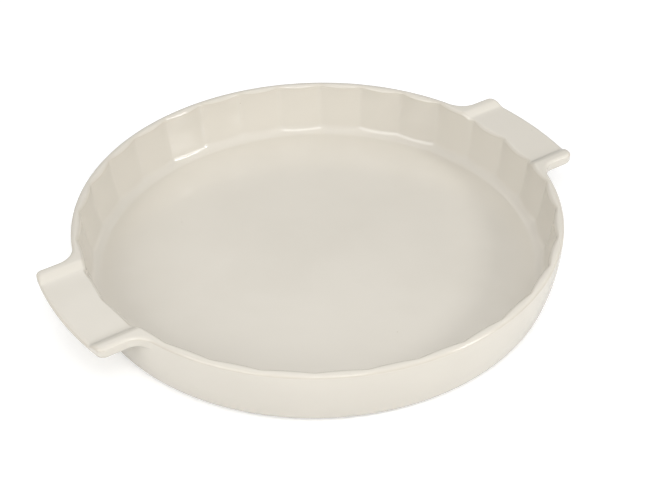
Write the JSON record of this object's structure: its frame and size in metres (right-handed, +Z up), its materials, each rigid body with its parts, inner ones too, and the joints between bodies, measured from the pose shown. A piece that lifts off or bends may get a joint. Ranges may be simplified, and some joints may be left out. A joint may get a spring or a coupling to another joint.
{
  "type": "fluted pie dish",
  "caption": "Round glazed stoneware pie dish with a smooth outer wall, a fluted inner wall and two flat tab handles with raised side ridges.",
  "frame": {"origin": "where the dish's axis meets the surface that it stands on", "axes": "+X through the middle of the right handle, +Z up, +Y towards the back lip"},
  "size_m": [0.3462, 0.3, 0.04],
  "materials": {
    "glaze": "glossy ecru glaze",
    "bare_clay": "matt unglazed stoneware"
  },
  "bodies": {
    "root": {"dish_floor": "glaze", "fluted_wall": "glaze", "front_lip": "glaze", "back_lip": "glaze", "left_handle": "glaze", "right_handle": "glaze", "foot_ring": "bare_clay"}
  },
  "joints": []
}
